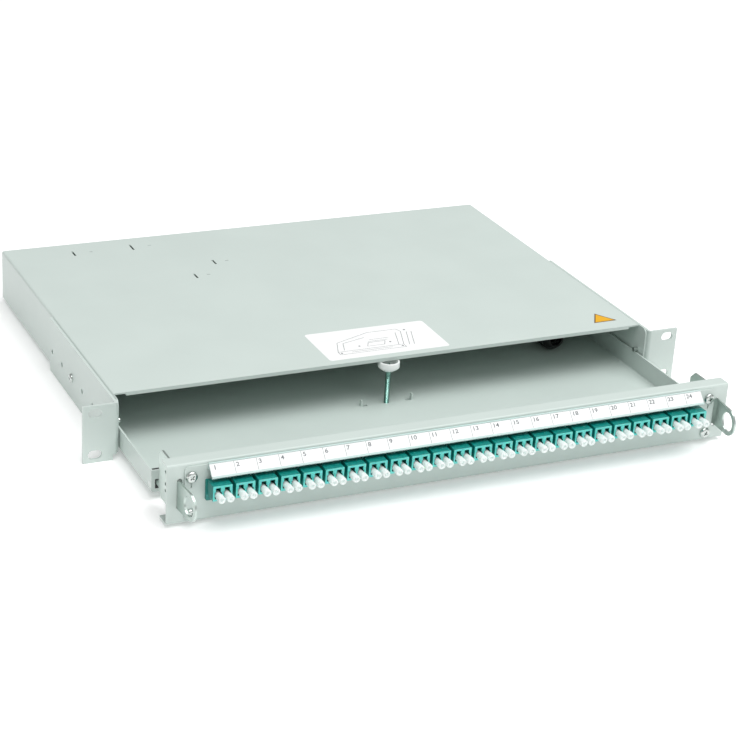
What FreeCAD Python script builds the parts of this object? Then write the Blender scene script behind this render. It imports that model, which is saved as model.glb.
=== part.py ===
"""Rack fibre patch panel, one unit high, with a pull-out drawer.

Millimetres. X runs across the rack, +Y goes back into it, +Z is up. The origin is the centre
of the rack slot pattern, on the front face of the ears. The drawer stands part way out.
"""
import FreeCAD
import Part
import math
import os

Vector = FreeCAD.Vector

# Rack interface
rack_width = 482.6
ear_height = 43.6
slot_inset = 8.75
slot_pitch_z = 31.75
slot_length = 10.0
slot_width = 6.8
bracket_sheet = 2.0
bracket_length = 160.0
bracket_bend = 2.6
bracket_hole_pitch = 25.2
bracket_hole_count = 5
bracket_first_hole = 53.4
bracket_hole_drop = 4.0
bracket_hole_radius = 2.1
bracket_screw_head = 3.4
bracket_screw_head_height = 2.0
bracket_relief_height = 4.2
bracket_relief_length = 14.0

# Housing
sheet = 1.2
sheet_bend = 2.0
ear_reach = 25.6
housing_height = 40.3
housing_lift = 4.0
housing_rear = 304.0
wall_front = 3.0
wall_corner = 5.0
top_setback = 13.9
base_setback = 16.0
hem_depth = 12.0
hem_inset = 9.0
hem_gap = 0.3
rear_lip = 10.0
entry_radius = 10.2
entry_inset = 65.7

# Slots punched in the cover as (distance from its left side, distance from its rear edge,
# length of the long slot, distance to the short one)
cover_slots = ((53.4, 16.5, 10.0, 13.7), (103.3, 14.5, 12.0, 14.7),
               (157.2, 66.0, 9.5, 10.4), (132.2, 91.0, 9.5, 10.3))
cover_slot_width = 1.6
cover_short_slot = 3.0

# Drawer tray
pull = 106.5
tray_gap = 0.4
tray_side_gap = 0.8
tray_wall_gap = 0.3
tray_setback = 41.5
tray_rear_space = 52.0
tray_rear_lip = 10.0
corner_flange = 10.7
tongue_inset = 13.7
upright_height = 10.4
tab_width = 9.0
tab_height = 35.4
stop_lug_length = 8.0
stop_lug_height = 5.0
travel_out = 120.0
glide_width = 10.0
glide_clearance = 0.05
glide_edge = 1.0

# Front panel
panel_over = 1.95
panel_gap = 0.4
panel_close_gap = 0.4
panel_bend = 1.6
panel_top_flange = 11.0
panel_bottom_flange = 13.0
window_margin = 1.0
window_height = 18.0

# Adapter plate with its fasteners
plate_sheet = 1.0
plate_inset = 12.05
plate_margin = 2.2
plate_corner = 3.0
screw_inset = 4.6
screw_spacing_z = 27.5
screw_radius = 2.0
screw_head_radius = 4.1
screw_head_height = 2.4
screw_clearance = 0.25
screw_drop = 1.6
screw_tip = 2.0
keyhole_slit = 1.1
keyhole_length = 8.0

# Duplex adapters
adapter_count = 24
adapter_row_inset = 13.6
adapter_gap = 2.4
adapter_height = 9.8
adapter_rise = 3.6
adapter_front = 15.0
adapter_rear = 14.5
adapter_flange_gap = 1.2
adapter_flange_over = 0.4
adapter_flange_under = 4.5
adapter_flange = 2.5
adapter_fit = 0.1
port_pitch = 6.25
port_width = 4.8
port_depth = 10.0
port_drop = 0.85
key_width = 3.4
key_rise = 4.7

# Dust caps
cap_plug_radius = 2.35
cap_plug_length = 6.0
cap_neck = 1.0
cap_head_radius = 3.0
cap_head_length = 5.0
cap_sides = 10

# Label holder and strip
label_shortfall = 3.0
label_shift = 1.1
label_angle = 43.0
holder_reach = 11.2
holder_thickness = 1.2
holder_foot = 4.8
holder_standoff = 0.6
holder_top_gap = 1.1
holder_top_lip = 0.8
holder_bottom_lip = 1.4
lip_rise = 0.8
strip_thickness = 0.25
strip_clearance = 0.1

# Ring latches
latch_thickness = 1.5
latch_inset = 4.05
latch_plate_height = 35.5
latch_neck_height = 20.4
latch_rear_gap = 5.5
latch_chamfer = 5.0
latch_shoulder_gap = 3.0
latch_bend_gap = 2.0
latch_bend = 5.0
ring_reach = 16.0
ring_hole_radius = 7.1
catch_hole_radius = 3.0
latch_slot_width = 4.0
latch_slot_clearance = 0.35
latch_slot_clearance_z = 1.2
latch_hole_radius = 1.2
latch_hole_setback = 19.0
latch_hole_levels = (5.85, -3.15, -8.15)
tongue_height = 2.6
eye_radius = 1.7
pin_radius = 0.8
pin_clearance = 0.05
pin_setback = 8.0

# Latch block in the tray corner
block_width = 9.0
block_depth = 10.6
block_height = 10.6
block_window_width = 7.5
block_window_height = 6.9
block_window_rise = 1.5
block_slit_clearance = 0.5
side_screw_radius = 1.5
side_screw_head = 2.7
side_screw_length = 7.0
side_screw_setback = 4.0
side_screw_rise = 3.2

# Return springs of the latches
spring_radius = 2.6
spring_setback = 20.0
spring_rise = 1.4
spring_lug_width = 10.0
spring_lug_height = 23.4

# Guide studs on the side walls
stud_y = 12.3
stud_radius = 1.85
stud_clearance = 0.4

# Hold-down stud with its knob
post_x = -1.0
post_setback = 80.5
post_radius = 2.0
post_reach = 4.6
knob_radius = 8.15
knob_height = 7.4
knob_gap = 0.6
knob_base_radius = 5.0
knob_taper = 2.6
knob_wall = 1.4
knob_recess = 3.9
thread_clearance = 0.05
lance_spacing = 41.6
lance_width = 3.0
lance_height = 4.8
lance_opening = 4.4

# Cable gland on the tray
gland_inset = 45.2
gland_height = 11.4
gland_setback = 149.0
gland_tab_width = 26.0
gland_tab_height = 24.0
gland_thread_radius = 8.0
gland_bore_radius = 5.5
gland_flange_radius = 10.5
gland_flange = 4.0
gland_spigot = 9.0
gland_nut_radius = 10.0
gland_nut_tip_radius = 7.0
gland_nut_length = 20.0
gland_nut_gap = 0.6
gland_nut_taper = 4.0
spigot_step = 0.6
gland_mouth_radius = 5.0
gland_locknut_radius = 11.0
gland_locknut_length = 5.0
gland_tail = 8.0
seal_length = 8.0
seal_bore_radius = 4.0

# How far a cutter reaches past what it cuts, and how close two places count as the same
over = 1.0
close = 0.01
straight = 0.999

# Levels and faces that follow from the sizes above
ear_bottom = -ear_height / 2
cover_bottom = ear_bottom + housing_lift
cover_top = cover_bottom + housing_height
housing_half = rack_width / 2 - ear_reach
housing_inner = housing_half - sheet
panel_bottom = cover_bottom - sheet - panel_gap
panel_top = cover_top + sheet + panel_gap
panel_middle = (panel_bottom + panel_top) / 2
panel_half = housing_half + panel_over
panel_front = -pull
panel_rear = panel_front + sheet
plate_front = panel_front - plate_sheet
tray_bottom = cover_bottom + sheet + tray_gap
tray_floor = tray_bottom + sheet
tray_top = panel_middle - stud_radius - tray_wall_gap
tray_half = housing_inner - tray_side_gap
tray_front = panel_front + tray_setback
tray_rear = tray_front + housing_rear - tray_rear_space
tongue_half = tray_half - tongue_inset
latch_x = tray_half - latch_inset
plate_half = panel_half - plate_inset
screw_x = plate_half - screw_inset
adapter_pitch = 2 * (plate_half - adapter_row_inset) / adapter_count
adapter_width = adapter_pitch - adapter_gap
adapter_row = adapter_pitch * adapter_count
adapter_z = panel_middle + adapter_rise
port_z = adapter_z - port_drop
adapter_mouth = plate_front - adapter_front
adapter_tail = plate_front + adapter_rear
knob_bottom = cover_top - 2 * sheet - hem_gap - knob_gap - knob_height
post_top = knob_bottom + post_reach
post_y = tray_front + post_setback
gland_x = tray_half - gland_inset
gland_y = tray_front + gland_setback
gland_z = tray_floor + gland_height


def box(x0, x1, y0, y1, z0, z1):
    """A box from its low and high corners."""
    return Part.makeBox(x1 - x0, y1 - y0, z1 - z0, Vector(x0, y0, z0))


def rod(radius, start, axis, length):
    """A round bar from start, along axis."""
    return Part.makeCylinder(radius, length, Vector(*start), Vector(*axis))


def tube(radius, bore, start, axis, length):
    """A round bar with a hole along its axis."""
    return rod(radius, start, axis, length).cut(rod(bore, start, axis, length))


def prism_x(points, x0, x1):
    """An outline given as (y, z) points, drawn out from x0 to x1."""
    wire = Part.makePolygon([Vector(x0, y, z) for y, z in points + points[:1]])
    return Part.Face(wire).extrude(Vector(x1 - x0, 0, 0))


def prism_z(points, z0, z1):
    """An outline given as (x, y) points, drawn out from z0 to z1."""
    wire = Part.makePolygon([Vector(x, y, z0) for x, y in points + points[:1]])
    return Part.Face(wire).extrude(Vector(0, 0, z1 - z0))


def turned(points, start, axis, spin=(0, 0, 1)):
    """A profile given as (radius, distance) points, turned about the axis through start."""
    along = Vector(*axis)
    out = Vector(*spin)
    corners = [Vector(*start) + out * r + along * d for r, d in points + points[:1]]
    return Part.Face(Part.makePolygon(corners)).revolve(Vector(*start), along, 360)


def rounded(shape, radius, picks):
    """The shape with the edges that picks accepts rounded."""
    return shape.makeFillet(radius, [edge for edge in shape.Edges if picks(edge)])


def bar_y(sides, radius, start, length):
    """A bar with flat sides from start, along Y, with the radius to its corners."""
    x, y, z = start
    corners = []
    for i in range(sides + 1):
        angle = 2 * math.pi * i / sides
        corners.append(Vector(x + radius * math.cos(angle), y, z + radius * math.sin(angle)))
    return Part.Face(Part.makePolygon(corners)).extrude(Vector(0, length, 0))


def screw(seat, axis, head_radius, head_height, radius, length):
    """A screw with the underside of its head at seat and its shank along axis."""
    profile = [(0, -head_height), (head_radius, -head_height), (head_radius, 0), (radius, 0),
               (radius, length), (0, length)]
    spin = (0, 1, 0) if axis[1] == 0 else (0, 0, 1)
    return turned(profile, seat, axis, spin)


def runs_along(edge, axis):
    """True where a straight edge lies along the axis."""
    if len(edge.Vertexes) != 2 or edge.Curve.TypeId != "Part::GeomLine":
        return False
    way = edge.Vertexes[1].Point - edge.Vertexes[0].Point
    return abs(way.dot(Vector(*axis))) > straight * way.Length


def mirrored(shape):
    """The same piece on the other side of the middle plane."""
    return shape.mirror(Vector(0, 0, 0), Vector(1, 0, 0))


def both_sides(shape):
    """The piece and its mirror image, as two separate solids."""
    return [shape, mirrored(shape)]


def slot_cutter(x, z, y0, y1):
    """A cutter for one rack slot, long across the rack."""
    reach = (slot_length - slot_width) / 2
    radius = slot_width / 2
    middle = box(x - reach, x + reach, y0, y1, z - radius, z + radius)
    ends = [rod(radius, (x + side * reach, y0, z), (0, 1, 0), y1 - y0) for side in (-1, 1)]
    return middle.fuse(ends)


def bracket():
    """The right rack bracket, an ear bent out from a side flange."""
    inner = housing_half
    outer = rack_width / 2
    top = ear_bottom + ear_height
    ear = box(inner, outer, 0, bracket_sheet, ear_bottom, top)
    flange = box(inner, inner + bracket_sheet, 0, bracket_length, ear_bottom, top)
    shape = ear.fuse(flange).removeSplitter()
    shape = rounded(shape, bracket_bend, lambda e: runs_along(e, (0, 0, 1))
                    and abs(e.Vertexes[0].X - inner) < close and abs(e.Vertexes[0].Y) < close)
    cuts = [slot_cutter(outer - slot_inset, side * slot_pitch_z / 2, -over,
                        bracket_sheet + over)
            for side in (-1, 1)]
    cuts.append(box(inner - over, inner + bracket_bend + over, -over, bracket_relief_length,
                    ear_bottom - over, ear_bottom + bracket_relief_height))
    for y in bracket_hole_places():
        cuts.append(rod(bracket_hole_radius, (inner - over, y, -bracket_hole_drop), (1, 0, 0),
                        bracket_sheet + 2 * over))
    return shape.cut(cuts)


def bracket_hole_places():
    """Distances behind the ear of the row of side holes."""
    return [bracket_first_hole + i * bracket_hole_pitch for i in range(bracket_hole_count)]


def screw_places():
    """The side holes that hold a screw: the middle one of the row."""
    places = bracket_hole_places()
    return [places[len(places) // 2]]


def bracket_screw(y):
    """A pan-head screw that holds the right bracket on the housing wall."""
    outside = housing_half + bracket_sheet
    return screw((outside, y, -bracket_hole_drop), (-1, 0, 0), bracket_screw_head,
                 bracket_screw_head_height, bracket_hole_radius, outside - housing_inner)


def wall_holes():
    """Cutters for what passes through both housing walls."""
    cuts = []
    for y in screw_places():
        cuts.append(rod(bracket_hole_radius, (housing_inner - over, y, -bracket_hole_drop),
                        (1, 0, 0), sheet + 2 * over))
    cuts.append(rod(stud_radius, (housing_inner - over, stud_y, panel_middle), (1, 0, 0),
                    sheet + 2 * over))
    return cuts


def housing_cover():
    """Top sheet and side walls, with a folded hem along the front edge of the top."""
    half = housing_half
    shell = box(-half, half, wall_front, housing_rear, cover_bottom, cover_top)
    shell = rounded(shell, sheet_bend, lambda e: runs_along(e, (0, 1, 0))
                    and abs(e.Vertexes[0].Z - cover_top) < close)
    hollow = box(-housing_inner, housing_inner, wall_front - over, housing_rear + over,
                 cover_bottom - over, cover_top - sheet)
    hollow = rounded(hollow, sheet_bend - sheet, lambda e: runs_along(e, (0, 1, 0))
                     and abs(e.Vertexes[0].Z - cover_top + sheet) < close)
    shell = shell.cut(hollow)
    mouth = box(-housing_inner, housing_inner, wall_front - over, top_setback,
                cover_top - 2 * sheet_bend, cover_top + over)
    corner = box(-half - over, half + over, wall_front - over, wall_front + wall_corner,
                 cover_top - wall_corner, cover_top + over)
    corner = corner.cut(rod(wall_corner, (-half - over, wall_front + wall_corner,
                                          cover_top - wall_corner), (1, 0, 0),
                            2 * half + 2 * over))
    cuts = [mouth, corner]
    for inset, setback, length, gap in cover_slots:
        x = inset - half
        rear = housing_rear - setback
        near = rear - length
        cuts.append(box(x, x + cover_slot_width, near, rear, cover_top - sheet - over,
                        cover_top + over))
        cuts.append(box(x + gap, x + gap + cover_short_slot, near + length / 2,
                        near + length / 2 + cover_slot_width / 2, cover_top - sheet - over,
                        cover_top + over))
    right = wall_holes()
    cuts.extend(right + [mirrored(cut) for cut in right])
    shell = shell.cut(cuts)
    inside = housing_inner - hem_inset
    fold = box(-inside, inside, top_setback, top_setback + hem_depth,
               cover_top - 2 * sheet - hem_gap, cover_top - sheet)
    slit = box(-inside - over, inside + over, top_setback + sheet, top_setback + hem_depth + over,
               cover_top - sheet - hem_gap, cover_top - sheet)
    return shell.fuse(fold.cut(slit)).removeSplitter()


def housing_base():
    """Bottom sheet and rear wall with lips that lie against the cover."""
    inner = housing_inner
    rear = housing_rear
    floor = box(-inner, inner, base_setback, rear, cover_bottom, cover_bottom + sheet)
    wall = box(-inner, inner, rear - sheet, rear, cover_bottom, cover_top - sheet)
    top_lip = box(-inner + sheet_bend, inner - sheet_bend, rear - rear_lip, rear,
                  cover_top - 2 * sheet, cover_top - sheet)
    side_lip = box(inner - sheet, inner, rear - rear_lip, rear, cover_bottom,
                   cover_top - sheet - sheet_bend)
    shape = floor.fuse([wall, top_lip] + both_sides(side_lip))
    bend = box(inner - sheet_bend, inner + over, rear - rear_lip - over, rear + over,
               cover_top - sheet - sheet_bend, cover_top)
    shape = shape.cut(both_sides(bend))
    entry_x = housing_half - entry_inset
    entries = [rod(entry_radius, (side * entry_x, rear - sheet - over, panel_middle),
                   (0, 1, 0), sheet + 2 * over) for side in (-1, 1)]
    return shape.cut(entries).removeSplitter()


def glide_strip():
    """A nylon strip on the base that the right edge of the tray runs on."""
    outer = tray_half - sheet_bend - glide_edge
    top = tray_bottom - glide_clearance
    return box(outer - glide_width, outer, base_setback, housing_rear - rear_lip,
               cover_bottom + sheet, top)


def guide_stud():
    """A pin in the right wall, just above the tray wall, that holds the drawer down."""
    end = latch_x + latch_thickness / 2 + stud_clearance
    return rod(stud_radius, (end, stud_y, panel_middle), (1, 0, 0), housing_half - end)


def block_place():
    """Outer face of the right latch block and the height of its underside."""
    return tray_half - sheet, tray_floor


def side_screw_place():
    """Where the flush screw enters the tray wall."""
    return tray_front + side_screw_setback, tray_floor + side_screw_rise


def drawer_tray():
    """The sliding tray, one folded sheet with a tongue and an upright that carry the panel."""
    half = tray_half
    inner = half - sheet
    shape = box(-half, half, tray_front, tray_rear, tray_bottom, tray_top)
    shape = rounded(shape, sheet_bend, lambda e: runs_along(e, (0, 1, 0))
                    and abs(e.Vertexes[0].Z - tray_bottom) < close)
    hollow = box(-inner, inner, tray_front + sheet, tray_rear - sheet, tray_floor, tray_top + over)
    hollow = rounded(hollow, sheet_bend - sheet, lambda e: runs_along(e, (0, 1, 0))
                     and abs(e.Vertexes[0].Z - tray_floor) < close)
    shape = shape.cut(hollow)
    gap = half - corner_flange
    front_gap = box(-gap, gap, tray_front - over, tray_front + sheet, tray_floor, tray_top + over)
    rear_gap = box(-inner - over, inner + over, tray_rear - sheet, tray_rear + over,
                   tray_bottom + tray_rear_lip, tray_top + over)
    shape = shape.cut([front_gap, rear_gap])
    upright = box(-tongue_half, tongue_half, panel_rear, panel_rear + sheet, tray_bottom,
                  tray_bottom + upright_height)
    tongue = box(-tongue_half, tongue_half, panel_rear, tray_front + sheet, tray_bottom,
                 tray_floor)
    tab = box(screw_x - tab_width / 2, screw_x + tab_width / 2, panel_rear, panel_rear + sheet,
              tray_bottom, tray_bottom + tab_height)
    lug = box(tongue_half - sheet, tongue_half, spring_y() - spring_lug_width / 2,
              spring_y() + spring_lug_width / 2, tray_bottom, tray_bottom + spring_lug_height)
    stop_y = stud_y + stud_radius + travel_out + panel_gap
    stop = box(inner, half, stop_y, stop_y + stop_lug_length, tray_top - over,
               tray_top + stop_lug_height)
    gland_tab = box(gland_x - gland_tab_width / 2, gland_x + gland_tab_width / 2, gland_y,
                    gland_y + sheet, tray_bottom, tray_floor + gland_tab_height)
    gland_tab = gland_tab.makeChamfer(plate_corner, [e for e in gland_tab.Edges
                                                     if runs_along(e, (0, 1, 0))
                                                     and e.Vertexes[0].Z > tray_floor])
    adds = [upright, tongue, gland_tab] + both_sides(tab) + both_sides(lug) + both_sides(stop)
    for side in (-1, 1):
        x = post_x + side * lance_spacing / 2
        adds.append(box(x - sheet / 2, x + sheet / 2, post_y - lance_width / 2,
                        post_y + lance_width / 2, tray_bottom, tray_floor + lance_height))
    shape = shape.fuse(adds)
    cuts = [rod(post_radius, (post_x, post_y, tray_bottom - over), (0, 0, 1), sheet + 2 * over)]
    for side in (-1, 1):
        near = post_x + side * (lance_spacing / 2 - sheet / 2)
        far = near - side * lance_opening
        cuts.append(box(min(near, far), max(near, far), post_y - lance_width / 2,
                        post_y + lance_width / 2, tray_bottom - over, tray_floor + over))
    for x, z in panel_screw_places():
        cuts.append(rod(screw_radius, (x, panel_rear - over, z), (0, 1, 0), sheet + 2 * over))
    side = gland_tab_width / 2
    cuts.append(box(gland_x - side, gland_x + side, gland_y + sheet,
                    gland_y + sheet + gland_tab_height, tray_bottom - over, tray_floor + over))
    cuts.append(rod(gland_thread_radius, (gland_x, gland_y - over, gland_z), (0, 1, 0),
                    sheet + 2 * over))
    edge, floor = block_place()
    window = box(edge - block_width, edge - block_width + block_window_width, tray_front - over,
                 tray_front + sheet, floor + block_window_rise,
                 floor + block_window_rise + block_window_height)
    screw_y, screw_z = side_screw_place()
    screw = rod(side_screw_head, (inner - over, screw_y, screw_z), (1, 0, 0), sheet + 2 * over)
    cuts.extend(both_sides(window) + both_sides(screw))
    return shape.cut(cuts).removeSplitter()


def panel_screw_places():
    """The four panel screws as (x, z)."""
    low = panel_middle - screw_drop - screw_spacing_z / 2
    return [(side * screw_x, low + level * screw_spacing_z)
            for side in (-1, 1) for level in (0, 1)]


def front_panel():
    """The drawer front, a channel with a window for the adapters and two latch slots."""
    half = panel_half
    opening = adapter_row / 2 + window_margin
    depth = max(panel_top_flange, panel_bottom_flange)
    shape = box(-half, half, panel_front, panel_front + depth, panel_bottom, panel_top)
    shape = rounded(shape, panel_bend, lambda e: runs_along(e, (1, 0, 0))
                    and abs(e.Vertexes[0].Y - panel_front) < close)
    cuts = [box(-half - over, half + over, panel_rear, panel_front + depth + over,
                panel_bottom + sheet, panel_top - sheet),
            box(-half - over, half + over, panel_front + panel_top_flange,
                panel_front + depth + over, panel_middle, panel_top + over),
            box(-half - over, half + over, panel_front + panel_bottom_flange,
                panel_front + depth + over, panel_bottom - over, panel_middle),
            box(-opening, opening, panel_front - over, panel_rear + over,
                adapter_z - window_height / 2, adapter_z + window_height / 2)]
    outer = latch_x + latch_thickness / 2 + latch_slot_clearance
    inner = outer - latch_slot_width
    end = latch_neck_height / 2 + latch_slot_clearance_z - latch_slot_width / 2
    middle = (outer + inner) / 2
    slot = box(inner, outer, panel_front - over, panel_rear + over, panel_middle - end,
               panel_middle + end)
    ends = [rod(latch_slot_width / 2, (middle, panel_front - over, panel_middle + side * end),
                (0, 1, 0), sheet + 2 * over) for side in (-1, 1)]
    cuts.extend(both_sides(slot.fuse(ends)))
    for x, z in panel_screw_places():
        cuts.append(rod(screw_radius + screw_clearance, (x, panel_front - over, z), (0, 1, 0),
                        sheet + 2 * over))
    return shape.cut(cuts).removeSplitter()


def adapter_places():
    """Middle of each adapter across the panel, from left to right."""
    first = -adapter_pitch * (adapter_count - 1) / 2
    return [first + i * adapter_pitch for i in range(adapter_count)]


def port_places(x):
    """Middle of the two ports of the adapter at x."""
    return [x - port_pitch / 2, x + port_pitch / 2]


def adapter_plate():
    """The flat plate that the adapters snap into."""
    half = plate_half
    low = panel_bottom + plate_margin
    high = panel_top - plate_margin
    shape = box(-half, half, plate_front, panel_front, low, high)
    shape = rounded(shape, plate_corner, lambda e: runs_along(e, (0, 1, 0)))
    cuts = []
    for x in adapter_places():
        wide = adapter_width / 2 + adapter_fit
        tall = adapter_height / 2 + adapter_fit
        cuts.append(box(x - wide, x + wide, plate_front - over, panel_front + over,
                        adapter_z - tall, adapter_z + tall))
    for x, z in panel_screw_places():
        cuts.append(rod(screw_radius + screw_clearance, (x, plate_front - over, z), (0, 1, 0),
                        plate_sheet + 2 * over))
        if z > panel_middle:
            cuts.append(box(x - keyhole_slit / 2, x + keyhole_slit / 2, plate_front - over,
                            panel_front + over, z - keyhole_length, z))
    return shape.cut(cuts)


def panel_screw(x, z):
    """A screw through plate and panel into the tapped hole of the tray tab."""
    return screw((x, plate_front, z), (0, 1, 0), screw_head_radius, screw_head_height,
                 screw_radius, plate_sheet + 2 * sheet + screw_tip)


def port_cutter(x, mouth, deep):
    """A square port from its mouth inwards."""
    wide = port_width / 2
    return box(x - wide, x + wide, min(mouth, deep), max(mouth, deep), port_z - wide,
               port_z + wide)


def keyway_cutter(x):
    """The slot above a front port that takes the latch of a plug."""
    return box(x - key_width / 2, x + key_width / 2, adapter_mouth - over,
               adapter_mouth + port_depth, port_z, port_z + key_rise)


def adapter(x):
    """A duplex adapter with two ports at each end and a flange that meets the plate."""
    wide = adapter_width / 2
    tall = adapter_height / 2
    flange_half = (adapter_pitch - adapter_flange_gap) / 2
    body = box(x - wide, x + wide, adapter_mouth, adapter_tail, adapter_z - tall, adapter_z + tall)
    flange = box(x - flange_half, x + flange_half,
                 plate_front - adapter_flange, plate_front,
                 adapter_z - tall - adapter_flange_under, adapter_z + tall + adapter_flange_over)
    cuts = []
    for port in port_places(x):
        cuts.append(port_cutter(port, adapter_mouth - over, adapter_mouth + port_depth))
        cuts.append(port_cutter(port, adapter_tail + over, adapter_tail - port_depth))
        cuts.append(keyway_cutter(port))
    return body.fuse(flange).cut(cuts)


def dust_cap(x):
    """A dust cap with flat sides: a plug that fills the port, a neck and a thicker head."""
    neck = cap_plug_length + cap_neck
    plug = bar_y(cap_sides, cap_plug_radius, (x, adapter_mouth - cap_neck, port_z), neck)
    head_start = adapter_mouth - cap_neck - cap_head_length
    head = bar_y(cap_sides, cap_head_radius, (x, head_start, port_z), cap_head_length)
    return plug.fuse(head)


def dust_caps(first, last):
    """The caps of a run of adapters, counted from the left."""
    return [dust_cap(port) for x in adapter_places()[first:last] for port in port_places(x)]


def holder_point(along, out):
    """A point of the label holder's section, along its sloping face and out from it."""
    angle = math.radians(label_angle)
    start_y = plate_front - holder_standoff
    start_z = panel_top - holder_top_gap
    return (start_y - along * math.sin(angle) - out * math.cos(angle),
            start_z - along * math.cos(angle) + out * math.sin(angle))


def label_ends():
    """Left and right end of the label holder."""
    half = (adapter_row - label_shortfall) / 2
    return label_shift - half, label_shift + half


def label_holder():
    """The sloping holder over the adapters, with a lip above and below the strip."""
    low_lip = holder_reach - holder_bottom_lip
    outline = [holder_point(0, lip_rise), holder_point(holder_top_lip, lip_rise),
               holder_point(holder_top_lip, 0), holder_point(low_lip, 0),
               holder_point(low_lip, lip_rise), holder_point(holder_reach, lip_rise),
               holder_point(holder_reach, -holder_thickness), holder_point(0, -holder_thickness)]
    left, right = label_ends()
    leaf = prism_x(outline, left, right)
    leaf = leaf.cut(box(left, right, plate_front, panel_front, panel_middle, panel_top))
    top = panel_top - holder_top_gap
    foot = box(left, right, plate_front - holder_standoff, plate_front, top - holder_foot, top)
    return leaf.fuse(foot).removeSplitter()


def label_strip():
    """The strip of card that slides between the holder's lips."""
    top = holder_top_lip + strip_clearance
    low = holder_reach - holder_bottom_lip - strip_clearance
    outline = [holder_point(top, 0), holder_point(top, strip_thickness),
               holder_point(low, strip_thickness), holder_point(low, 0)]
    return prism_x(outline, *label_ends())


def pin_y():
    """Distance of the latch pins from the ears."""
    return tray_front + pin_setback


def spring_y():
    """Distance of the latch springs from the ears."""
    return tray_front - spring_setback


def latch_strip():
    """The latch seen from above: a straight strip whose front end bends towards the middle."""
    half = latch_thickness / 2
    fold = panel_front - latch_bend_gap
    length = ring_reach + latch_neck_height / 2
    lean = math.radians(latch_bend)
    shift = half * math.tan(lean / 2)
    tip_x = latch_x - length * math.sin(lean)
    tip_y = fold - length * math.cos(lean)
    across_x = half * math.cos(lean)
    across_y = half * math.sin(lean)
    outline = [(latch_x - half, pin_y()), (latch_x - half, fold + shift),
               (tip_x - across_x, tip_y + across_y), (tip_x + across_x, tip_y - across_y),
               (latch_x + half, fold - shift), (latch_x + half, pin_y())]
    low = panel_middle - latch_plate_height / 2
    return prism_z(outline, low - over, low + latch_plate_height + over)


def latch_side():
    """The latch seen from the side: ring, neck, plate, tongue and the hole for the stud."""
    tall = latch_plate_height / 2
    neck = latch_neck_height / 2
    rear = tray_front - latch_rear_gap
    shoulder = panel_rear + latch_shoulder_gap
    middle = panel_middle
    centre = panel_front - latch_bend_gap - ring_reach
    x0 = latch_x - latch_plate_height
    wide = 2 * latch_plate_height
    outline = [(centre, middle - neck), (shoulder, middle - neck), (shoulder, middle - tall),
               (rear - latch_chamfer, middle - tall), (rear, middle - tall + latch_chamfer),
               (rear, middle + tall - latch_chamfer), (rear - latch_chamfer, middle + tall),
               (shoulder, middle + tall), (shoulder, middle + neck), (centre, middle + neck)]
    side = prism_x(outline, x0, x0 + wide)
    side = side.fuse(rod(neck, (x0, centre, middle), (1, 0, 0), wide))
    catch_y = stud_y - pull + sheet + panel_close_gap
    holes = [rod(ring_hole_radius, (x0 - over, centre, middle), (1, 0, 0), wide + 2 * over),
             rod(catch_hole_radius, (x0 - over, catch_y, middle), (1, 0, 0), wide + 2 * over)]
    for level in latch_hole_levels:
        holes.append(rod(latch_hole_radius, (x0 - over, tray_front - latch_hole_setback,
                                             middle + level), (1, 0, 0), wide + 2 * over))
    side = side.cut(holes)
    tongue = box(x0, x0 + wide, rear - over, pin_y() + over, tongue_middle() - tongue_height / 2,
                 tongue_middle() + tongue_height / 2)
    return side.fuse(tongue)


def latch():
    """The right latch, with an eye on its tongue for the pin."""
    low = tongue_middle() - tongue_height / 2
    eye = rod(eye_radius, (latch_x, pin_y(), low), (0, 0, 1), tongue_height)
    bore = rod(pin_radius + pin_clearance, (latch_x, pin_y(), low - over), (0, 0, 1),
               tongue_height + 2 * over)
    return latch_strip().common(latch_side()).fuse(eye).cut(bore).removeSplitter()


def tongue_middle():
    """Height of the latch tongue, in the upper part of the block's window."""
    return (tray_floor + block_window_rise + block_window_height - block_slit_clearance
            - tongue_height / 2)


def latch_block():
    """The right latch block, a moulded corner piece that the latch tongue swings in."""
    edge, floor = block_place()
    inner = edge - block_width
    shape = box(inner, edge, tray_front + sheet, tray_front + sheet + block_depth, floor,
                floor + block_height)
    shape = shape.makeChamfer(sheet_bend - sheet, [e for e in shape.Edges
                                                   if runs_along(e, (0, 1, 0))
                                                   and e.Vertexes[0].X > edge - close
                                                   and e.Vertexes[0].Z < floor + close])
    nose = box(inner, inner + block_window_width, tray_front, tray_front + sheet,
               floor + block_window_rise, floor + block_window_rise + block_window_height)
    slit_half = eye_radius + block_slit_clearance
    tongue_z = tongue_middle()
    slit = box(latch_x - slit_half, latch_x + slit_half, tray_front - over,
               pin_y() + slit_half, tongue_z - tongue_height / 2 - block_slit_clearance / 2,
               tongue_z + tongue_height / 2 + block_slit_clearance / 2)
    pin = rod(pin_radius, (latch_x, pin_y(), floor - over), (0, 0, 1), block_height + 2 * over)
    screw_y, screw_z = side_screw_place()
    screw = rod(side_screw_radius, (edge - side_screw_length, screw_y, screw_z), (1, 0, 0),
                side_screw_length + over)
    return shape.fuse(nose).cut([slit, pin, screw])


def latch_pin():
    """The steel pin that the right latch turns on."""
    floor = tray_floor
    return rod(pin_radius, (latch_x, pin_y(), floor), (0, 0, 1), block_height)


def side_screw():
    """A flush screw through the tray wall into the latch block."""
    edge, floor = block_place()
    screw_y, screw_z = side_screw_place()
    head = rod(side_screw_head, (edge, screw_y, screw_z), (1, 0, 0), sheet)
    return head.fuse(rod(side_screw_radius, (edge - side_screw_length, screw_y, screw_z),
                         (1, 0, 0), side_screw_length))


def latch_spring():
    """The coil spring between the tongue lug and the right latch, as its outer shape."""
    start = tongue_half
    end = latch_x - latch_thickness / 2
    return rod(spring_radius, (start, spring_y(), panel_middle + spring_rise), (1, 0, 0),
               end - start)


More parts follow.
